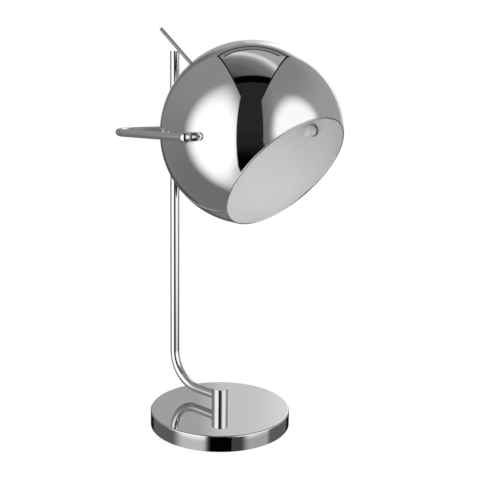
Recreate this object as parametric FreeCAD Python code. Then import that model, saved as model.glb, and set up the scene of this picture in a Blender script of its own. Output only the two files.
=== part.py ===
import FreeCAD, Part
import math
import os

# Table lamp with a ball shade: a round weighted foot, a post, a J-shaped stem,
# a U-shaped yoke and a ball shade that tilts in the yoke on two pivots.
# Millimetres. Origin: centre of the rest face. +Z up, the shade looks to -Y,
# the stem stands behind the post at +Y, and the tilt axis runs along X.

# ---------------------------------------------------------------- foot
base_radius = 82.0
base_height = 18.5
base_wall = 1.5
base_edge_round = 1.6
pad_thickness = 1.5
pad_inset = 3.0
pad_proud = 0.5
weight_clearance = 0.4
recess_radius = 30.0
recess_depth = 8.0
channel_width = 11.0

# ---------------------------------------------------------------- post
post_radius = 10.0
post_height = 24.0
post_edge_round = 0.5
post_bore_depth = 8.0
nipple_radius = 5.0
nipple_bore = 3.5
nipple_in_post = 6.0
washer_radius = 12.0
washer_thickness = 1.5
nut_across_flats = 14.0
nut_thickness = 3.0
nipple_below_nut = 1.0

# ---------------------------------------------------------------- stem
stem_radius = 5.5
stem_wall = 1.2
stem_behind_shade = 22.0
stem_bend_radius = 39.0
stem_entry_height = 13.0
stem_seat_depth = 8.0
stem_cap_thickness = 1.2
stem_cap_spigot = 7.0
grub_radius = 2.0
grub_length = 4.5
grub_socket_across_flats = 2.0
grub_socket_depth = 1.8

# ---------------------------------------------------------------- cord inlet
inlet_height = 9.0
inlet_bore = 3.2
inlet_barrel_radius = 4.4
inlet_flange_radius = 5.8
inlet_flange_proud = 2.2
inlet_barrel_length = 9.0

# ---------------------------------------------------------------- yoke
yoke_height = 345.5
yoke_tube_radius = 4.0
yoke_tube_wall = 1.0
arm_beside_shade = 12.0
yoke_corner_radius = 36.0
saddle_ring_radius = 8.5
saddle_ring_height = 15.0
saddle_sleeve_radius = 5.8
saddle_sleeve_length = 18.0

# ---------------------------------------------------------------- shade
shade_radius = 100.0
shade_wall = 1.0
shade_centre_y = -44.0
shade_centre_z = yoke_height
shade_tilt = 38.9
opening_distance = 63.5
rim_bead_radius = 0.9

# ---------------------------------------------------------------- tilt pivots
pivot_y = -55.0
ball_radius = 6.2
ball_flat_distance = 4.8
arm_socket_depth = 3.0
stud_radius = 2.95
stud_bore = 1.7
stud_in_ball = 3.3
bush_bore_clearance = 0.05
bush_barrel_radius = 4.0
bush_flange_radius = 4.9
bush_flange_proud = 0.6
outer_washer_radius = 5.1
outer_washer_thickness = 1.2
pivot_collar_radius = 5.4
pivot_collar_neck_radius = 4.0
pivot_collar_neck_length = 0.8
seat_radius = 7.0
seat_clear_of_wall = 0.7
inner_washer_radius = 6.6
inner_washer_thickness = 1.0
cap_nut_radius = 6.2
cap_nut_length = 15.5
cap_nut_dome = 4.0
stud_end_cover = 4.0

# ---------------------------------------------------------------- handle
handle_radius = 2.1
handle_reach = 187.0
handle_rest_gap = 0.4
ferrule_radius = 5.5
ferrule_tip_radius = 3.2
ferrule_height = 10.0
handle_seat_depth = 8.0
ferrule_stud_radius = 5.0
ferrule_stud_length = 12.0
pole_washer_radius = 10.0
pole_washer_thickness = 1.2

# ---------------------------------------------------------------- lamp holder
holder_radius = 14.0
holder_wall = 1.4
holder_neck_radius = 8.0
holder_neck_height = 6.0
holder_cap_height = 19.5
holder_body_height = 28.0
holder_lip = 1.2
holder_rim_height = 2.4
shell_radius = 7.3
shell_wall = 0.4
shell_height = 19.0
contact_radius = 4.0
contact_thickness = 1.0

# ---------------------------------------------------------------- bulb
bulb_cap_radius = 6.9
bulb_cap_height = 20.0
bulb_tip_radius = 3.0
bulb_tip_height = 1.6
bulb_radius = 22.5
bulb_length = 78.0
bulb_neck_radius = 8.5
bulb_neck_height = 4.0
bulb_waist_radius = 18.0

# ---------------------------------------------------------------- clearances
fit = 0.05
seat_gap = 0.05

# ---------------------------------------------------------------- derived places
X = FreeCAD.Vector(1, 0, 0)
Y = FreeCAD.Vector(0, 1, 0)
Z = FreeCAD.Vector(0, 0, 1)
ORIGIN = FreeCAD.Vector(0, 0, 0)

# The yoke stands clear of the ball, so its width and the stem's place follow the ball's size.
yoke_half_width = shade_radius + arm_beside_shade
stem_offset = shade_centre_y + shade_radius + stem_behind_shade
entry_z = base_height + stem_entry_height
stem_seat_middle = post_radius - stem_seat_depth / 2
stem_inner = stem_radius - stem_wall
bar_y = stem_offset - stem_radius - yoke_tube_radius
shade_centre = FreeCAD.Vector(0, shade_centre_y, shade_centre_z)
pivot_dy = pivot_y - shade_centre_y

# At rest the handle lies just over the front edge of the stem's flat end.
tilt_angle = math.radians(shade_tilt)
stem_front_y = stem_offset - stem_radius
handle_middle_z = shade_centre_z + (stem_front_y - shade_centre_y) * math.tan(tilt_angle)
stem_top = handle_middle_z - (handle_radius + handle_rest_gap) / math.cos(tilt_angle)

weight_top = base_height - base_wall
recess_roof = pad_thickness + recess_depth
nut_top = recess_roof - washer_thickness
nut_bottom = nut_top - nut_thickness
nipple_bottom = nut_bottom - nipple_below_nut


def sphere_reach(radius, offset):
    """Distance along X to a sphere's surface, at an offset from its centre."""
    return math.sqrt(radius ** 2 - offset ** 2)


# Stations along the tilt axis, outwards from the lamp's middle plane.
bush_flange_foot = sphere_reach(shade_radius, abs(pivot_dy) + bush_flange_radius) - seat_gap
bush_face = sphere_reach(shade_radius, abs(pivot_dy) - bush_flange_radius) + bush_flange_proud
collar_start = bush_face + outer_washer_thickness
ball_flat = yoke_half_width - ball_flat_distance
seat_face = sphere_reach(shade_radius - shade_wall, abs(pivot_dy) + seat_radius) - seat_clear_of_wall
cap_nut_start = seat_face - inner_washer_thickness
cap_nut_end = cap_nut_start - cap_nut_length
stud_inner_end = cap_nut_end + stud_end_cover
stud_outer_end = yoke_half_width + stud_in_ball - ball_flat_distance

# Stations along the shade's own axis, from its centre to its pole.
pole_inside = math.sqrt((shade_radius - shade_wall) ** 2 - pole_washer_radius ** 2)
pole_washer_top = pole_inside - seat_gap
pole_nut_top = pole_washer_top - pole_washer_thickness
holder_top = pole_nut_top - nut_thickness
holder_shoulder = holder_top - holder_neck_height
holder_joint = holder_top - holder_cap_height
holder_mouth = holder_joint - holder_body_height
ferrule_stud_end = shade_radius - ferrule_stud_length
contact_top = holder_joint - holder_wall
contact_bottom = contact_top - contact_thickness
bulb_top = contact_bottom - seat_gap
bulb_cap_end = bulb_top - bulb_tip_height - bulb_cap_height
bulb_ball_z = bulb_top - bulb_length + bulb_radius


# ---------------------------------------------------------------- helpers
def revolved(points):
    """Solid of revolution about Z from (radius, height) points, closed."""
    corners = [FreeCAD.Vector(r, 0, h) for r, h in points]
    outline = Part.makePolygon(corners + [corners[0]])
    return Part.Face(outline).revolve(ORIGIN, Z, 360)


def cylinder(radius, low, high, x=0.0, y=0.0):
    """Upright cylinder between two heights."""
    return Part.makeCylinder(radius, high - low, FreeCAD.Vector(x, y, low), Z)


def tube(outer, inner, low, high, x=0.0, y=0.0):
    """Upright tube between two heights."""
    return cylinder(outer, low, high, x, y).cut(cylinder(inner, low, high, x, y))


def hexagon(across_flats, low, high):
    """Upright six-sided prism."""
    corner = across_flats / math.sqrt(3)
    points = []
    for step in range(7):
        angle = math.radians(60 * step)
        points.append(FreeCAD.Vector(corner * math.cos(angle), corner * math.sin(angle), low))
    return Part.Face(Part.makePolygon(points)).extrude(Z * (high - low))


def bar_along(path, radius):
    """Round bar along a path of lines and tangent arcs that starts along its first edge."""
    first = path.Edges[0]
    start = first.valueAt(first.FirstParameter)
    heading = first.tangentAt(first.FirstParameter)
    ring = Part.Wire(Part.makeCircle(radius, start, heading))
    return path.makePipeShell([ring], True, True)


def side(shape, sign):
    """A piece drawn upright, laid along the tilt axis with its heights as distances from X = 0."""
    laid = shape.copy()
    laid.rotate(ORIGIN, Y, 90 * sign)
    laid.translate(FreeCAD.Vector(0, pivot_y, yoke_height))
    return laid


def on_shade(shape):
    """A piece drawn about Z with the shade's centre at the origin, put where the shade is."""
    placed = shape.copy()
    placed.rotate(ORIGIN, X, shade_tilt - 90)
    placed.translate(shade_centre)
    return placed


def save(name, shape):
    shape.exportStep("parts/" + name + ".step")


# ---------------------------------------------------------------- foot pieces
def base_cover():
    """Polished dish, open below, with a rounded top edge and holes for the nipple and the inlet."""
    outside = cylinder(base_radius, pad_proud, base_height)
    top_edge = [edge for edge in outside.Edges if edge.BoundBox.ZMin > base_height - seat_gap]
    outside = outside.makeFillet(base_edge_round, top_edge)
    inside = cylinder(base_radius - base_wall, pad_proud, weight_top)
    shell = outside.cut(inside).cut(cylinder(nipple_radius + fit, 0, base_height))
    return shell.cut(inlet_hole(inlet_barrel_radius + fit))


def inlet_hole(radius):
    """Bar along +Y where the cord inlet passes the rear wall."""
    start = FreeCAD.Vector(0, base_radius - inlet_barrel_length, inlet_height)
    return Part.makeCylinder(radius, 2 * inlet_barrel_length, start, Y)


def base_weight():
    """Iron disc with a wiring recess under its middle and a channel to the rear inlet."""
    radius = base_radius - base_wall - weight_clearance
    disc = cylinder(radius, pad_thickness, weight_top)
    recess = cylinder(recess_radius, pad_thickness, recess_roof)
    channel = Part.makeBox(channel_width, base_radius, inlet_height + channel_width / 2 - pad_thickness)
    channel.translate(FreeCAD.Vector(-channel_width / 2, 0, pad_thickness))
    return disc.cut(recess).cut(channel).cut(cylinder(nipple_radius + fit, 0, base_height))


def base_pad():
    return cylinder(base_radius - pad_inset, 0, pad_thickness)


def base_washer():
    return tube(washer_radius, nipple_radius + fit, nut_top, recess_roof)


def base_nut():
    return hexagon(nut_across_flats, nut_bottom, nut_top).cut(cylinder(nipple_radius + fit, 0, base_height))


def post_nipple():
    """Hollow threaded tube that draws the post down on the foot."""
    return tube(nipple_radius, nipple_bore, nipple_bottom, base_height + nipple_in_post)


def cord_inlet():
    """Bush in the rear wall: a flange outside, a barrel through the wall and a bore for the cord."""
    start = FreeCAD.Vector(0, base_radius - inlet_barrel_length, inlet_height)
    barrel = Part.makeCylinder(inlet_barrel_radius, inlet_barrel_length + inlet_flange_proud, start, Y)
    flange_start = FreeCAD.Vector(0, base_radius - inlet_flange_proud, inlet_height)
    flange = Part.makeCylinder(inlet_flange_radius, 2 * inlet_flange_proud, flange_start, Y)
    flange = flange.cut(cylinder(base_radius, 0, base_height))
    return barrel.fuse(flange).cut(inlet_hole(inlet_bore)).removeSplitter()


# ---------------------------------------------------------------- post and stem pieces
def post():
    """Turned post with a blind bore below for the nipple and a side bore for the stem."""
    top = base_height + post_height
    body = cylinder(post_radius, base_height, top)
    top_edge = [edge for edge in body.Edges if edge.BoundBox.ZMin > top - seat_gap]
    body = body.makeFillet(post_edge_round, top_edge)
    body = body.cut(cylinder(nipple_radius + fit, base_height, base_height + post_bore_depth))
    seat = FreeCAD.Vector(0, post_radius - stem_seat_depth, entry_z)
    body = body.cut(Part.makeCylinder(stem_radius + fit, post_radius, seat, Y))
    tapped = FreeCAD.Vector(stem_radius, stem_seat_middle, entry_z)
    return body.cut(Part.makeCylinder(grub_radius + fit, post_radius, tapped, X))


def stem_path():
    """Out of the post to the rear, through a quarter bend, then straight up."""
    start = FreeCAD.Vector(0, post_radius - stem_seat_depth, entry_z)
    bend_start = FreeCAD.Vector(0, stem_offset - stem_bend_radius, entry_z)
    bend_end = FreeCAD.Vector(0, stem_offset, entry_z + stem_bend_radius)
    diagonal = stem_bend_radius * math.sin(math.radians(45))
    bend_middle = FreeCAD.Vector(0, bend_start.y + diagonal, bend_end.z - diagonal)
    top = FreeCAD.Vector(0, stem_offset, stem_top - stem_cap_thickness)
    foot = Part.LineSegment(start, bend_start).toShape()
    bend = Part.Arc(bend_start, bend_middle, bend_end).toShape()
    upright = Part.LineSegment(bend_end, top).toShape()
    return Part.Wire([foot, bend, upright])


def stem():
    path = stem_path()
    body = bar_along(path, stem_radius).cut(bar_along(path, stem_inner))
    lead_hole = FreeCAD.Vector(0, stem_offset - 2 * stem_radius, yoke_height)
    return body.cut(Part.makeCylinder(stud_bore, 2 * stem_radius, lead_hole, Y))


def stem_cap():
    """Flat disc that closes the stem, with a spigot inside the tube."""
    seat = stem_top - stem_cap_thickness
    disc = cylinder(stem_radius, seat, stem_top, 0, stem_offset)
    spigot = cylinder(stem_inner - fit, seat - stem_cap_spigot, seat, 0, stem_offset)
    return disc.fuse(spigot).removeSplitter()


def grub_screw():
    """Headless screw with a hexagon socket: point at height 0, socket at the top."""
    body = cylinder(grub_radius, 0, grub_length)
    return body.cut(hexagon(grub_socket_across_flats, grub_length - grub_socket_depth, grub_length))


def post_screw():
    """Grub screw that holds the stem's end in the post, on the post's +X side."""
    screw = grub_screw()
    screw.rotate(ORIGIN, Y, 90)
    screw.translate(FreeCAD.Vector(stem_radius + fit, stem_seat_middle, entry_z))
    return screw


# ---------------------------------------------------------------- yoke pieces
def yoke_saddle():
    """Ring on the stem with a cross sleeve in front that carries the yoke's crossbar."""
    low = yoke_height - saddle_ring_height / 2
    high = yoke_height + saddle_ring_height / 2
    ring = cylinder(saddle_ring_radius, low, high, 0, stem_offset)
    start = FreeCAD.Vector(-saddle_sleeve_length / 2, bar_y, yoke_height)
    sleeve = Part.makeCylinder(saddle_sleeve_radius, saddle_sleeve_length, start, X)
    crossbar = Part.makeCylinder(yoke_tube_radius + fit, saddle_sleeve_length, start, X)
    stem_bore = cylinder(stem_radius + fit, low, high, 0, stem_offset)
    tapped = FreeCAD.Vector(0, stem_offset, yoke_height)
    tapped = Part.makeCylinder(grub_radius + fit, 2 * saddle_ring_radius, tapped, Y)
    return ring.fuse(sleeve).cut(stem_bore).cut(crossbar).cut(tapped).removeSplitter()


def saddle_screw():
    """Grub screw behind the stem that clamps the saddle."""
    screw = grub_screw()
    screw.rotate(ORIGIN, X, -90)
    screw.translate(FreeCAD.Vector(0, stem_offset + stem_radius + fit, yoke_height))
    return screw


def yoke_path():
    """U in the horizontal plane: two arms and a crossbar, joined by round corners."""
    arm_x = yoke_half_width
    corner_x = arm_x - yoke_corner_radius
    corner_y = bar_y - yoke_corner_radius
    arm_end = pivot_y + ball_radius - arm_socket_depth
    diagonal = yoke_corner_radius * math.sin(math.radians(45))

    def point(x, y):
        return FreeCAD.Vector(x, y, yoke_height)

    left_arm = Part.LineSegment(point(-arm_x, arm_end), point(-arm_x, corner_y))
    left_mid = point(-corner_x - diagonal, corner_y + diagonal)
    left_bend = Part.Arc(point(-arm_x, corner_y), left_mid, point(-corner_x, bar_y))
    crossbar = Part.LineSegment(point(-corner_x, bar_y), point(corner_x, bar_y))
    right_mid = point(corner_x + diagonal, corner_y + diagonal)
    right_bend = Part.Arc(point(corner_x, bar_y), right_mid, point(arm_x, corner_y))
    right_arm = Part.LineSegment(point(arm_x, corner_y), point(arm_x, arm_end))
    return Part.Wire([piece.toShape() for piece in (left_arm, left_bend, crossbar, right_bend, right_arm)])


def yoke():
    path = yoke_path()
    body = bar_along(path, yoke_tube_radius)
    body = body.cut(bar_along(path, yoke_tube_radius - yoke_tube_wall))
    lead_hole = FreeCAD.Vector(0, bar_y, yoke_height)
    return body.cut(Part.makeCylinder(stud_bore, 2 * yoke_tube_radius, lead_hole, Y))


# ---------------------------------------------------------------- pivot pieces
def arm_ball(sign):
    """Ball on the arm's end: a flat towards the shade, a socket for the arm and a tapped stud hole."""
    ball = Part.makeSphere(ball_radius, FreeCAD.Vector(0, 0, yoke_half_width))
    ball = ball.cut(cylinder(ball_radius, ball_flat - ball_radius, ball_flat))
    ball = ball.cut(cylinder(stud_radius + fit, 0, stud_outer_end))
    ball = side(ball, sign)
    socket = FreeCAD.Vector(sign * yoke_half_width, pivot_y + ball_radius - arm_socket_depth, yoke_height)
    ball = ball.cut(Part.makeCylinder(yoke_tube_radius + fit, ball_radius, socket, Y))
    lead_way = FreeCAD.Vector(sign * yoke_half_width, pivot_y, yoke_height)
    return ball.cut(Part.makeCylinder(stud_bore, ball_radius, lead_way, Y))


def pivot_stud(sign):
    return side(tube(stud_radius, stud_bore, stud_inner_end, stud_outer_end), sign)


def pivot_collar(sign):
    """Turned spacer between the ball and the washer, necked towards the shade."""
    bore = stud_radius + fit
    neck_end = collar_start + pivot_collar_neck_length
    profile = [
        (bore, collar_start),
        (pivot_collar_neck_radius, collar_start),
        (pivot_collar_neck_radius, neck_end),
        (pivot_collar_radius, neck_end),
        (pivot_collar_radius, ball_flat),
        (bore, ball_flat),
    ]
    return side(revolved(profile), sign)


def outer_washer(sign):
    return side(tube(outer_washer_radius, stud_radius + fit, bush_face, collar_start), sign)


def shade_ball(radius):
    """Sphere about the shade's centre, in the frame of a piece drawn for side()."""
    return Part.makeSphere(radius, shade_centre)


def pivot_bush(sign):
    """Nylon bush in the shade's hole: a flange outside that follows the ball, and a barrel."""
    flange = cylinder(bush_flange_radius, bush_flange_foot, bush_face)
    flange = side(flange, sign).cut(shade_ball(shade_radius))
    barrel = side(cylinder(bush_barrel_radius, seat_face, bush_face), sign)
    bore = side(cylinder(stud_radius + bush_bore_clearance, seat_face, bush_face), sign)
    return flange.fuse(barrel).cut(bore).removeSplitter()


def pivot_seat(sign):
    """Ring inside the shade that turns its hollow wall into a flat face for the washer."""
    ring = tube(seat_radius, bush_barrel_radius + fit, seat_face, shade_radius)
    return side(ring, sign).common(shade_ball(shade_radius - shade_wall))


def inner_washer(sign):
    return side(tube(inner_washer_radius, stud_radius + fit, cap_nut_start, seat_face), sign)


def cap_nut(sign, lead_way):
    """Domed nut on the stud's inner end; one of the two lets the lead out."""
    low = cap_nut_end
    shoulder = low + cap_nut_dome
    body = cylinder(cap_nut_radius, low, cap_nut_start)
    end_edge = [edge for edge in body.Edges if edge.BoundBox.ZMax < low + seat_gap]
    body = body.makeFillet(cap_nut_dome, end_edge)
    body = body.cut(cylinder(stud_radius + fit, shoulder, cap_nut_start))
    if lead_way:
        body = body.cut(cylinder(stud_bore, low, shoulder))
    return side(body, sign)


# ---------------------------------------------------------------- shade pieces
def shade():
    """Spun ball shell with a round mouth, a rolled rim, a pole hole and two pivot holes."""
    outer = Part.makeSphere(shade_radius)
    inner = Part.makeSphere(shade_radius - shade_wall)
    mouth = cylinder(2 * shade_radius, -2 * shade_radius, -opening_distance)
    shell = outer.cut(inner).cut(mouth)
    middle_radius = shade_radius - shade_wall / 2
    rim_radius = math.sqrt(middle_radius ** 2 - opening_distance ** 2)
    bead = Part.makeTorus(rim_radius, rim_bead_radius, FreeCAD.Vector(0, 0, -opening_distance), Z)
    shell = shell.fuse(bead)
    shell = shell.cut(cylinder(ferrule_stud_radius + fit, 0, 2 * shade_radius))
    shell = on_shade(shell)
    for sign in (-1, 1):
        shell = shell.cut(side(cylinder(bush_barrel_radius + fit, 0, 2 * shade_radius), sign))
    return shell.removeSplitter()


def handle_ferrule():
    """Turned ferrule on the pole: takes the handle outside and carries the lamp holder inside."""
    tip = shade_radius + ferrule_height
    head = Part.makeCone(ferrule_radius, ferrule_tip_radius, ferrule_height, FreeCAD.Vector(0, 0, shade_radius))
    foot = cylinder(ferrule_radius, shade_radius - ferrule_radius, shade_radius)
    foot = foot.cut(Part.makeSphere(shade_radius))
    stud = cylinder(ferrule_stud_radius, ferrule_stud_end, shade_radius)
    handle_bore = cylinder(handle_radius + fit, tip - handle_seat_depth, tip)
    return on_shade(head.fuse(foot).fuse(stud).cut(handle_bore).removeSplitter())


def handle_rod():
    start = shade_radius + ferrule_height - handle_seat_depth
    return on_shade(cylinder(handle_radius, start, handle_reach))


def pole_washer():
    return on_shade(tube(pole_washer_radius, ferrule_stud_radius + fit, pole_nut_top, pole_washer_top))


def pole_nut():
    nut = hexagon(nut_across_flats, holder_top, pole_nut_top)
    return on_shade(nut.cut(cylinder(ferrule_stud_radius + fit, holder_top, pole_nut_top)))


def holder_cap():
    """Cup with a threaded neck that screws on the ferrule's stud."""
    bore = ferrule_stud_radius + fit
    inner = holder_radius - holder_wall
    profile = [
        (bore, holder_top),
        (holder_neck_radius, holder_top),
        (holder_neck_radius, holder_shoulder),
        (holder_radius, holder_shoulder - holder_neck_height / 2),
        (holder_radius, holder_joint),
        (inner, holder_joint),
        (inner, holder_shoulder - holder_neck_height),
        (bore, holder_shoulder - holder_wall),
    ]
    return on_shade(revolved(profile))


def holder_body():
    """Skirt of the lamp holder: a cup with a lip at its mouth and a floor for the contact."""
    outer = holder_radius - holder_lip
    inner = outer - holder_wall
    profile = [
        (inner, holder_mouth),
        (holder_radius, holder_mouth),
        (holder_radius, holder_mouth + holder_rim_height),
        (outer, holder_mouth + holder_rim_height),
        (outer, holder_joint),
        (0, holder_joint),
        (0, contact_top),
        (inner, contact_top),
    ]
    return on_shade(revolved(profile))


def screw_shell():
    low = contact_top - shell_height
    return on_shade(tube(shell_radius + shell_wall, shell_radius, low, contact_top))


def holder_contact():
    return on_shade(cylinder(contact_radius, contact_bottom, contact_top))


# ---------------------------------------------------------------- bulb pieces
def bulb_cap():
    """Screw cap with its centre contact."""
    cap_top = bulb_top - bulb_tip_height
    cap = cylinder(bulb_cap_radius, bulb_cap_end, cap_top)
    tip = Part.makeCone(bulb_cap_radius, bulb_tip_radius, bulb_tip_height, FreeCAD.Vector(0, 0, cap_top))
    return on_shade(cap.fuse(tip).removeSplitter())


def bulb_body():
    """White collar that flares from the cap to the dome's equator."""
    neck_end = bulb_cap_end - bulb_neck_height
    start = FreeCAD.Vector(bulb_neck_radius, 0, neck_end)
    equator = FreeCAD.Vector(bulb_radius, 0, bulb_ball_z)
    middle = FreeCAD.Vector(bulb_waist_radius, 0, (neck_end + bulb_ball_z) / 2)
    edges = [
        Part.makeLine(FreeCAD.Vector(0, 0, bulb_cap_end), FreeCAD.Vector(bulb_neck_radius, 0, bulb_cap_end)),
        Part.makeLine(FreeCAD.Vector(bulb_neck_radius, 0, bulb_cap_end), start),
        Part.Arc(start, middle, equator).toShape(),
        Part.makeLine(equator, FreeCAD.Vector(0, 0, bulb_ball_z)),
        Part.makeLine(FreeCAD.Vector(0, 0, bulb_ball_z), FreeCAD.Vector(0, 0, bulb_cap_end)),
    ]
    return on_shade(Part.Face(Part.Wire(edges)).revolve(ORIGIN, Z, 360))


def bulb_dome():
    ball = Part.makeSphere(bulb_radius, FreeCAD.Vector(0, 0, bulb_ball_z))
    upper = cylinder(2 * bulb_radius, bulb_ball_z, bulb_ball_z + 2 * bulb_radius)
    return on_shade(ball.cut(upper))


# ---------------------------------------------------------------- all pieces
os.makedirs("parts", exist_ok=True)

save("base_cover", base_cover())
save("base_weight", base_weight())
save("base_pad", base_pad())
save("base_washer", base_washer())
save("base_nut", base_nut())
save("post_nipple", post_nipple())
save("cord_inlet", cord_inlet())
save("post", post())
save("post_screw", post_screw())
save("stem", stem())
save("stem_cap", stem_cap())
save("yoke_saddle", yoke_saddle())
save("saddle_screw", saddle_screw())
save("yoke", yoke())

for name, sign, lead_way in (("left", -1, True), ("right", 1, False)):
    save("arm_ball_" + name, arm_ball(sign))
    save("pivot_stud_" + name, pivot_stud(sign))
    save("pivot_collar_" + name, pivot_collar(sign))
    save("outer_washer_" + name, outer_washer(sign))
    save("pivot_bush_" + name, pivot_bush(sign))
    save("pivot_seat_" + name, pivot_seat(sign))
    save("inner_washer_" + name, inner_washer(sign))
    save("cap_nut_" + name, cap_nut(sign, lead_way))

save("shade", shade())
save("handle_ferrule", handle_ferrule())
save("handle_rod", handle_rod())
save("pole_washer", pole_washer())
save("pole_nut", pole_nut())
save("holder_cap", holder_cap())
save("holder_body", holder_body())
save("screw_shell", screw_shell())
save("holder_contact", holder_contact())
save("bulb_cap", bulb_cap())
save("bulb_body", bulb_body())
save("bulb_dome", bulb_dome())
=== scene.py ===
import math
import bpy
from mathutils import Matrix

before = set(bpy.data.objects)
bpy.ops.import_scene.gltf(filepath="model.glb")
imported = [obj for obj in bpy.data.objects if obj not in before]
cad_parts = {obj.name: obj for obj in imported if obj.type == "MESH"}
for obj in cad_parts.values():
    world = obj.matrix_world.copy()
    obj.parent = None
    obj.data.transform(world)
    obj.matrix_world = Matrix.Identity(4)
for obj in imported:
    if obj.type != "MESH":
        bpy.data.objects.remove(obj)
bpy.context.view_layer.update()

from types import SimpleNamespace

import bpy
from mathutils import Matrix, Vector

bpy.context.scene.view_settings.view_transform = "Standard"

# ---------------------------------------------------------------- camera
# Fitted to the photograph: azimuth and distance from the origin, height, aim and focal length.
camera_azimuth = math.radians(-46.71)
camera_distance = 0.90652
camera_height = 0.39433
camera_yaw = math.radians(-0.75)
camera_pitch = math.radians(8.35)
camera_roll = math.radians(0.58)
focal_px = 799.42
image_px = 480
sensor_mm = 36.0
shift_right_px = 8.0
shift_down_px = 35.0


def make_camera():
    data = bpy.data.cameras.new("camera")
    data.sensor_width = sensor_mm
    data.lens = sensor_mm * focal_px / image_px
    data.shift_x = shift_right_px / image_px
    data.shift_y = -shift_down_px / image_px
    data.clip_start = 0.01
    data.clip_end = 100.0
    heading = camera_azimuth + camera_yaw
    level = math.cos(camera_pitch)
    forward = Vector((-math.sin(heading) * level, math.cos(heading) * level, -math.sin(camera_pitch)))
    right = Vector((math.cos(heading), math.sin(heading), 0.0))
    up = right.cross(forward)
    turned_right = right * math.cos(camera_roll) + up * math.sin(camera_roll)
    turned_up = up * math.cos(camera_roll) - right * math.sin(camera_roll)
    place = Vector((
        camera_distance * math.sin(camera_azimuth),
        -camera_distance * math.cos(camera_azimuth),
        camera_height,
    ))
    matrix = Matrix.Identity(4)
    for row in range(3):
        matrix[row][0] = turned_right[row]
        matrix[row][1] = turned_up[row]
        matrix[row][2] = -forward[row]
        matrix[row][3] = place[row]
    camera = bpy.data.objects.new("camera", data)
    camera.matrix_world = matrix
    bpy.context.scene.collection.objects.link(camera)
    bpy.context.scene.camera = camera


# ---------------------------------------------------------------- materials
grain_detail = 4.0
relief_depth = 0.0002


def new_material(name):
    material = bpy.data.materials.new(name)
    material.use_nodes = True
    tree = material.node_tree
    shader = tree.nodes["Principled BSDF"]
    return material, tree, shader


def grain(tree, scale):
    """Noise over the object's own place, in metres."""
    place = tree.nodes.new("ShaderNodeTexCoord")
    noise = tree.nodes.new("ShaderNodeTexNoise")
    noise.inputs["Scale"].default_value = scale
    noise.inputs["Detail"].default_value = grain_detail
    tree.links.new(place.outputs["Object"], noise.inputs["Vector"])
    return noise.outputs["Fac"]


def remap(tree, value, low, high):
    """A value from 0 to 1 spread from low to high."""
    spread = tree.nodes.new("ShaderNodeMapRange")
    spread.inputs["To Min"].default_value = low
    spread.inputs["To Max"].default_value = high
    tree.links.new(value, spread.inputs["Value"])
    return spread.outputs["Result"]


def ramp(tree, value, low, high):
    """A colour between two linear colours."""
    mix = tree.nodes.new("ShaderNodeMix")
    mix.data_type = "RGBA"
    mix.inputs["A"].default_value = (*low, 1.0)
    mix.inputs["B"].default_value = (*high, 1.0)
    tree.links.new(value, mix.inputs["Factor"])
    return mix.outputs["Result"]


def plain(name, low, high, scale, roughness, metallic=0.0, bump=0.0, spread=0.1):
    """Material with a slight mottle of colour and shine. The roughness varies by the share spread."""
    material, tree, shader = new_material(name)
    value = grain(tree, scale)
    tree.links.new(ramp(tree, value, low, high), shader.inputs["Base Color"])
    low_shine = roughness * (1.0 - spread)
    high_shine = roughness * (1.0 + spread)
    tree.links.new(remap(tree, value, low_shine, high_shine), shader.inputs["Roughness"])
    shader.inputs["Metallic"].default_value = metallic
    if bump:
        relief = tree.nodes.new("ShaderNodeBump")
        relief.inputs["Strength"].default_value = bump
        relief.inputs["Distance"].default_value = relief_depth
        tree.links.new(value, relief.inputs["Height"])
        tree.links.new(relief.outputs["Normal"], shader.inputs["Normal"])
    return material


def grey(level):
    return (level, level, level)


chrome = plain("chrome", grey(0.78), grey(0.82), 35.0, 0.03, metallic=1.0, spread=0.5)
satin = plain("satin", grey(0.40), grey(0.46), 90.0, 0.30, metallic=1.0, spread=0.2)
white_paint = plain("white_paint", grey(0.84), grey(0.88), 60.0, 0.45)
iron = plain("iron", grey(0.05), grey(0.09), 120.0, 0.7, metallic=0.6, bump=0.3)
foam = plain("foam", grey(0.012), grey(0.02), 900.0, 0.95, bump=0.4)
black_plastic = plain("black_plastic", grey(0.012), grey(0.018), 300.0, 0.4, bump=0.1)
zinc = plain("zinc", (0.55, 0.56, 0.58), (0.66, 0.66, 0.66), 180.0, 0.35, metallic=1.0)
screw_steel = plain("screw_steel", grey(0.10), grey(0.14), 200.0, 0.4, metallic=1.0)
holder_plastic = plain("holder_plastic", (0.70, 0.69, 0.66), (0.75, 0.74, 0.71), 150.0, 0.45)
brass = plain("brass", (0.62, 0.42, 0.16), (0.70, 0.50, 0.22), 200.0, 0.3, metallic=1.0)
bulb_metal = plain("bulb_metal", grey(0.60), grey(0.68), 200.0, 0.28, metallic=1.0)
bulb_white = plain("bulb_white", grey(0.76), grey(0.80), 100.0, 0.4)
bulb_opal = plain("bulb_opal", grey(0.80), grey(0.84), 40.0, 0.25)
white_nut = plain("white_nut", grey(0.74), grey(0.78), 120.0, 0.4)
nylon = plain("nylon", grey(0.10), grey(0.13), 150.0, 0.5)

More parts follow.
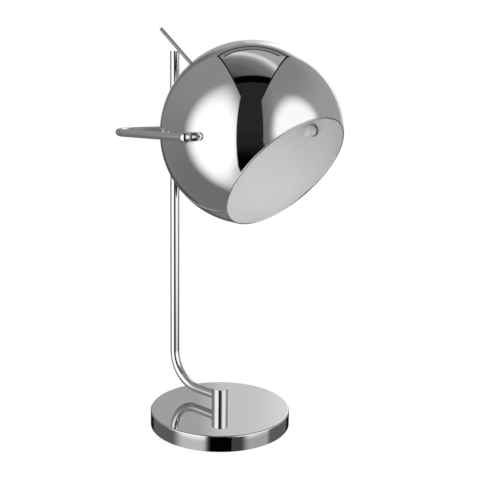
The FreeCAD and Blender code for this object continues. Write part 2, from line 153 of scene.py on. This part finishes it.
finishes = {
    "base_cover": chrome,
    "base_weight": iron,
    "base_pad": foam,
    "base_washer": zinc,
    "base_nut": zinc,
    "post_nipple": zinc,
    "cord_inlet": black_plastic,
    "post": chrome,
    "post_screw": screw_steel,
    "stem": chrome,
    "stem_cap": chrome,
    "yoke_saddle": chrome,
    "saddle_screw": screw_steel,
    "yoke": chrome,
    "handle_ferrule": chrome,
    "handle_rod": satin,
    "pole_washer": zinc,
    "pole_nut": zinc,
    "holder_cap": holder_plastic,
    "holder_body": holder_plastic,
    "screw_shell": brass,
    "holder_contact": brass,
    "bulb_cap": bulb_metal,
    "bulb_body": bulb_white,
    "bulb_dome": bulb_opal,
}
for hand in ("left", "right"):
    finishes["arm_ball_" + hand] = chrome
    finishes["pivot_stud_" + hand] = zinc
    finishes["pivot_collar_" + hand] = chrome
    finishes["outer_washer_" + hand] = chrome
    finishes["pivot_bush_" + hand] = nylon
    finishes["pivot_seat_" + hand] = nylon
    finishes["inner_washer_" + hand] = screw_steel
    finishes["cap_nut_" + hand] = white_nut


def wear(node, *materials):
    """Puts these materials on a CAD node, in the order of its slots."""
    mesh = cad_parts[node].data
    mesh.materials.clear()
    for material in materials:
        mesh.materials.append(material)
    for face in mesh.polygons:
        face.material_index = 0


for node, material in finishes.items():
    wear(node, material)


shade_centre = Vector((0.0, -0.044, 0.3455))
inwards = 0.9


def two_tone_shade():
    """Chrome outside and on the rim, white paint on the faces that look at the ball's centre."""
    wear("shade", chrome, white_paint)
    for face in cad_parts["shade"].data.polygons:
        to_centre = (shade_centre - face.center).normalized()
        if face.normal.dot(to_centre) > inwards:
            face.material_index = 1


two_tone_shade()

# ---------------------------------------------------------------- stage
# The camera sees white, and the lamps and the world light the object plainly. Mirror finishes see a studio
# tent: a wall on each side with a soft light on it, a dark gap at the camera, a back wall and a ceiling.
# Angles are in degrees. Azimuth is 0 towards the camera and grows to the picture's right.
left_wall_middle = -85.0
right_wall_middle = 82.0
wall_slope = 2.6
gap_left = -19.5
gap_right = 12.8
gap_blur = 0.8
gap_lean = 7.5
wall_back = 151.0
wall_back_blur = 0.6
ceiling_drift = 140.0
lowest_ceiling = 0.05
left_glare = 1.04

# chrome's reflectance, for the greys of the studio
chrome_share = 0.8

# world and floor: linear strengths, and half the floor's width in metres
world_strength = 0.75
floor_half = 6.0
floor_grey = 0.9
floor_roughness = 0.9
floor_glow = 1.06
floor_glow_share = 0.85

# glowing ring on the floor that only the foot's mirror side sees, a painted reflection: metres, number of steps
# round it, and its grey away from the lights
foot_radius = 0.082
ring_inner = 0.0825
ring_outer = 0.14
ring_steps = 96
ring_reflected_grey = 88

# rounds in which the azimuth on the foot's side is worked out from a place on the floor
facing_rounds = 3


def number(tree, operation, *values):
    """Math node over numbers or sockets."""
    node = tree.nodes.new("ShaderNodeMath")
    node.operation = operation
    for place, value in enumerate(values):
        if isinstance(value, (int, float)):
            node.inputs[place].default_value = value
        else:
            tree.links.new(value, node.inputs[place])
    return node.outputs["Value"]


def degrees(tree, angle):
    return number(tree, "MULTIPLY", angle, math.degrees(1.0))


def smooth(tree, value, start, end):
    """0 at start and 1 at end, with a soft change between them."""
    node = tree.nodes.new("ShaderNodeMapRange")
    node.interpolation_type = "SMOOTHSTEP"
    node.inputs["From Min"].default_value = start
    node.inputs["From Max"].default_value = end
    tree.links.new(value, node.inputs["Value"])
    return node.outputs["Result"]


def product(tree, *masks):
    result = masks[0]
    for mask in masks[1:]:
        result = number(tree, "MULTIPLY", result, mask)
    return result


def over(tree, below, above, mask):
    """A brightness laid over another where the mask is 1."""
    node = tree.nodes.new("ShaderNodeMix")
    node.data_type = "FLOAT"
    for name, value in (("A", below), ("B", above), ("Factor", mask)):
        if isinstance(value, (int, float)):
            node.inputs[name].default_value = value
        else:
            tree.links.new(value, node.inputs[name])
    return node.outputs["Result"]


def shown(level):
    """Brightness at which chrome shows as this grey, from 0 to 255, in the picture."""
    share = level / 255.0
    linear = share / 12.92 if share <= 0.04045 else ((share + 0.055) / 1.055) ** 2.4
    return linear / chrome_share


def layers(tree, below, *steps):
    """Lays greys over a brightness. A step is a grey and the edges that bound it: value, 0 end, 1 end."""
    for level, *edges in steps:
        mask = product(tree, *[smooth(tree, *edge) for edge in edges])
        below = over(tree, below, shown(level), mask)
    return below


def oval(tree, azimuth, elevation, middle, reach):
    """Squared distance from an oval's middle, 1 at its edge."""
    total = []
    for value, centre, half in zip((azimuth, elevation), middle, reach):
        share = number(tree, "DIVIDE", number(tree, "SUBTRACT", value, centre), half)
        total.append(number(tree, "MULTIPLY", share, share))
    return number(tree, "ADD", *total)


def along(tree, way, azimuth):
    """How far a direction goes towards a level azimuth of the studio."""
    turn = camera_azimuth + camera_yaw
    angle = math.radians(azimuth)
    towards_camera = Vector((math.sin(turn), -math.cos(turn), 0.0))
    to_the_right = Vector((math.cos(turn), math.sin(turn), 0.0))
    node = tree.nodes.new("ShaderNodeVectorMath")
    node.operation = "DOT_PRODUCT"
    node.inputs[1].default_value = towards_camera * math.cos(angle) + to_the_right * math.sin(angle)
    tree.links.new(way, node.inputs[0])
    return node.outputs["Value"]


def directions(tree):
    """The measures of a direction that the studio's tones depend on."""
    way = tree.nodes.new("ShaderNodeTexCoord").outputs["Generated"]
    split = tree.nodes.new("ShaderNodeSeparateXYZ")
    tree.links.new(way, split.inputs["Vector"])
    up = split.outputs["Z"]
    front = along(tree, way, 0.0)
    right = along(tree, way, 90.0)
    rising = number(tree, "MAXIMUM", up, lowest_ceiling)
    return SimpleNamespace(
        way=way,
        up=up,
        azimuth=degrees(tree, number(tree, "ARCTAN2", right, front)),
        elevation=degrees(tree, number(tree, "ARCSINE", up)),
        behind=degrees(tree, number(tree, "ARCTAN2", right, number(tree, "MULTIPLY", front, -1.0))),
        ahead=number(tree, "DIVIDE", front, rising),
        drift=number(tree, "DIVIDE", along(tree, way, ceiling_drift), rising),
    )


def ceiling_and_gap(tree, at):
    """Ceiling, lighter to the back and right with a bright strip, then a black band and the gap below it."""
    return layers(
        tree,
        shown(55),
        (92, (at.drift, -0.42, -0.2)),
        (112, (at.drift, -0.15, 0.1)),
        (160, (at.drift, 0.08, 0.26)),
        (208, (at.drift, 0.2, 0.3), (at.drift, 0.4, 0.34)),
        (2, (at.ahead, 0.225, 0.262)),
        (37, (at.ahead, 0.43, 0.46)),
        (33, (at.elevation, 4.0, 0.0)),
        (3, (at.elevation, -6.0, -28.0)),
    )


def back_wall(tree, at, sky):
    """Back wall, lighter to the right, with a bright patch and two dark lines along its top."""
    patch = (
        (at.behind, 0.5, 11.0),
        (at.behind, 38.0, 18.0),
        (at.elevation, 46.0, 34.0),
        (at.elevation, -2.0, 12.0),
    )
    wall = layers(
        tree,
        shown(105),
        (157, (at.behind, -21.0, -10.0)),
        (191, (at.behind, -2.6, -0.4)),
        (252, *patch),
        (75, (at.elevation, 1.0, -8.0)),
        (114, (at.elevation, -26.0, -38.0)),
        (126, (at.elevation, 31.0, 43.0)),
        (40, (at.elevation, 44.0, 46.0), (at.elevation, 48.8, 47.2)),
        (30, (at.elevation, 53.0, 54.0), (at.elevation, 57.0, 56.0)),
    )
    away = number(tree, "ABSOLUTE", at.azimuth)
    sides = smooth(tree, away, wall_back - 4.0, wall_back - 2.0)
    return over(tree, sky, wall, product(tree, sides, smooth(tree, at.elevation, 57.0, 55.0)))


def side_wall(tree, at, sky, wall, middle, *sides):
    """A wall between two edges, under a top that slopes down from its middle and has a dark line along it."""
    rise = number(tree, "MULTIPLY", along(tree, at.way, middle), wall_slope)
    top = number(tree, "SUBTRACT", rise, at.up)
    inside = [smooth(tree, *side) for side in sides]
    sky = over(tree, sky, wall, product(tree, *inside, smooth(tree, top, -0.01, 0.02)))
    return layers(tree, sky, (25, (top, -0.05, -0.03), (top, 0.03, 0.01), *sides))


def left_wall(tree, at, sky):
    wall = layers(tree, shown(108), (134, (at.elevation, -40.0, 45.0)))
    light = smooth(tree, oval(tree, at.azimuth, at.elevation, (-48.0, -5.0), (44.0, 65.0)), 1.12, 0.2)
    wall = over(tree, wall, shown(255) * left_glare, light)
    back = (at.azimuth, -wall_back - wall_back_blur, -wall_back + wall_back_blur)
    gap = (at.azimuth, gap_left + gap_blur, gap_left - gap_blur)
    return side_wall(tree, at, sky, wall, left_wall_middle, back, gap)


def right_wall(tree, at, sky):
    """The gap's right edge leans to the right low down."""
    low = smooth(tree, at.elevation, -8.0, -20.0)
    shifted = number(tree, "SUBTRACT", at.azimuth, number(tree, "MULTIPLY", low, gap_lean))
    wall = layers(
        tree,
        shown(150),
        (128, (at.elevation, 20.0, 55.0)),
        (112, (at.azimuth, 40.0, 14.0)),
        (75, (at.elevation, -4.0, -20.0)),
    )
    round_light = oval(tree, at.azimuth, at.elevation, (56.0, 0.0), (40.0, 45.0))
    wall = layers(
        tree,
        wall,
        (249, (round_light, 1.05, 0.4), (shifted, 16.0, 31.0), (at.elevation, -36.0, -8.0)),
    )
    back = (at.azimuth, wall_back + wall_back_blur, wall_back - wall_back_blur)
    gap = (shifted, gap_right - gap_blur, gap_right + gap_blur)
    return side_wall(tree, at, sky, wall, right_wall_middle, back, gap)


def studio(tree):
    """Brightness of the tent in every direction."""
    at = directions(tree)
    sky = ceiling_and_gap(tree, at)
    for lay_wall in (back_wall, left_wall, right_wall):
        sky = lay_wall(tree, at, sky)
    return sky


def mixed(tree, share, first, second):
    """Socket of two shaders mixed by a share."""
    mix = tree.nodes.new("ShaderNodeMixShader")
    tree.links.new(share, mix.inputs["Fac"])
    tree.links.new(first, mix.inputs[1])
    tree.links.new(second, mix.inputs[2])
    return mix.outputs["Shader"]


def background(tree, strength=1.0):
    node = tree.nodes.new("ShaderNodeBackground")
    node.inputs["Color"].default_value = (1.0, 1.0, 1.0, 1.0)
    node.inputs["Strength"].default_value = strength
    return node


def make_world():
    """White for the camera, the studio for mirror finishes, and plain light for the rest."""
    world = bpy.data.worlds.new("studio")
    bpy.context.scene.world = world
    world.use_nodes = True
    tree = world.node_tree
    tree.nodes.clear()
    path = tree.nodes.new("ShaderNodeLightPath")
    mirrored = background(tree)
    tree.links.new(studio(tree), mirrored.inputs["Color"])
    lit = background(tree, world_strength).outputs["Background"]
    lit = mixed(tree, path.outputs["Is Glossy Ray"], lit, mirrored.outputs["Background"])
    seen = background(tree).outputs["Background"]
    output = tree.nodes.new("ShaderNodeOutputWorld")
    tree.links.new(mixed(tree, path.outputs["Is Camera Ray"], lit, seen), output.inputs["Surface"])


def make_floor():
    mesh = bpy.data.meshes.new("floor")
    corners = [(-1, -1), (1, -1), (1, 1), (-1, 1)]
    mesh.from_pydata([(floor_half * x, floor_half * y, 0.0) for x, y in corners], [], [(0, 1, 2, 3)])
    floor = bpy.data.objects.new("floor", mesh)
    bpy.context.scene.collection.objects.link(floor)
    material, tree, shader = new_material("floor_white")
    shader.inputs["Base Color"].default_value = (*grey(floor_grey), 1.0)
    shader.inputs["Roughness"].default_value = floor_roughness
    path = tree.nodes.new("ShaderNodeLightPath")
    seen = tree.nodes.new("ShaderNodeEmission")
    seen.inputs["Strength"].default_value = floor_glow
    share = number(tree, "MULTIPLY", path.outputs["Is Camera Ray"], floor_glow_share)
    surface = mixed(tree, share, shader.outputs["BSDF"], seen.outputs["Emission"])
    tree.links.new(surface, tree.nodes["Material Output"].inputs["Surface"])
    mesh.materials.append(material)
    floor.visible_glossy = False


def ring_mesh(name):
    points = []
    for step in range(ring_steps):
        angle = 2.0 * math.pi * step / ring_steps
        for reach in (ring_inner, ring_outer):
            points.append((reach * math.cos(angle), reach * math.sin(angle), 0.0))
    faces = []
    for step in range(ring_steps):
        here = 2 * step
        following = 2 * ((step + 1) % ring_steps)
        faces.append((here, here + 1, following + 1, following))
    mesh = bpy.data.meshes.new(name)
    mesh.from_pydata(points, [], faces)
    return mesh


def foot_facing(tree, right, front, reach):
    """Azimuth, in degrees, at which the foot's side mirrors this place of the floor to the camera."""
    share = number(tree, "DIVIDE", foot_radius, reach)
    turn = number(tree, "ARCTAN2", right, front)
    nearness = foot_radius / (camera_distance - foot_radius)
    facing = number(tree, "DIVIDE", turn, number(tree, "SUBTRACT", 2.0, share))
    for _ in range(facing_rounds):
        lean = number(tree, "MULTIPLY", number(tree, "SINE", facing), nearness)
        bent = number(tree, "MULTIPLY", number(tree, "SINE", number(tree, "ADD", facing, lean)), share)
        facing = number(tree, "SUBTRACT", number(tree, "ADD", turn, number(tree, "ARCSINE", bent)), lean)
        facing = number(tree, "MULTIPLY", facing, 0.5)
    return degrees(tree, facing)


def make_foot_reflection_ring():
    """Glowing ring on the floor, seen only in the foot's mirror side: a painted reflection of a dark table top
    with the lights and the gap on it.
    """
    mesh = ring_mesh("foot_reflection_ring")
    ring = bpy.data.objects.new("foot_reflection_ring", mesh)
    bpy.context.scene.collection.objects.link(ring)
    material = bpy.data.materials.new("foot_reflection_ring")
    material.use_nodes = True
    tree = material.node_tree
    tree.nodes.clear()
    place = tree.nodes.new("ShaderNodeTexCoord").outputs["Object"]
    front = along(tree, place, 0.0)
    right = along(tree, place, 90.0)
    squares = [number(tree, "MULTIPLY", value, value) for value in (front, right)]
    reach = number(tree, "SQRT", number(tree, "ADD", *squares))
    facing = foot_facing(tree, right, front, reach)
    far = smooth(tree, reach, 0.104, 0.116)
    # painted reflection greys near the foot and further out, 0 end and 1 end of the left edge, and of the right
    # edge
    sectors = (
        (24, 24, (-83.0, -79.0), (-65.0, -70.0)),
        (184, 228, (-40.0, -28.0), (-7.0, -13.0)),
        (2, 2, (-11.5, -5.5), (10.5, 9.5)),
        (62, 62, (9.5, 10.5), (24.0, 17.0)),
        (158, 206, (17.0, 25.0), (45.0, 39.0)),
        (24, 24, (68.0, 71.0), (84.0, 80.0)),
    )
    tone = shown(ring_reflected_grey)
    for near_level, far_level, left_edge, right_edge in sectors:
        mask = product(tree, smooth(tree, facing, *left_edge), smooth(tree, facing, *right_edge))
        tone = over(tree, tone, over(tree, shown(near_level), shown(far_level), far), mask)
    # the ring glows with the painted reflection's tone, and past about 0.1 m of ray it turns clear, so only the
    # foot's side shows it
    glow = tree.nodes.new("ShaderNodeEmission")
    tree.links.new(tone, glow.inputs["Color"])
    clear = tree.nodes.new("ShaderNodeBsdfTransparent")
    length = tree.nodes.new("ShaderNodeLightPath").outputs["Ray Length"]
    beyond_the_foot = smooth(tree, length, 0.08, 0.1)
    output = tree.nodes.new("ShaderNodeOutputMaterial")
    surface = mixed(tree, beyond_the_foot, glow.outputs["Emission"], clear.outputs["BSDF"])
    tree.links.new(surface, output.inputs["Surface"])
    mesh.materials.append(material)
    ring.visible_camera = False
    ring.visible_diffuse = False
    ring.visible_shadow = False
    ring.visible_transmission = False


def lamp_panel(name, place, target, side, power):
    """Square soft light that mirror finishes don't see."""
    data = bpy.data.lights.new(name, "AREA")
    data.shape = "SQUARE"
    data.size = side
    data.energy = power
    light = bpy.data.objects.new(name, data)
    light.location = place
    aim = Vector(target) - Vector(place)
    light.rotation_euler = aim.to_track_quat("-Z", "Y").to_euler()
    light.visible_glossy = False
    bpy.context.scene.collection.objects.link(light)


make_camera()
make_world()
make_floor()
make_foot_reflection_ring()
lamp_panel("overhead", place=(0.0, 0.0, 2.2), target=(0.0, 0.0, 0.2), side=2.5, power=18.0)
lamp_panel("front", place=(-0.7, -1.25, 0.75), target=(0.0, 0.0, 0.3), side=1.2, power=12.5)
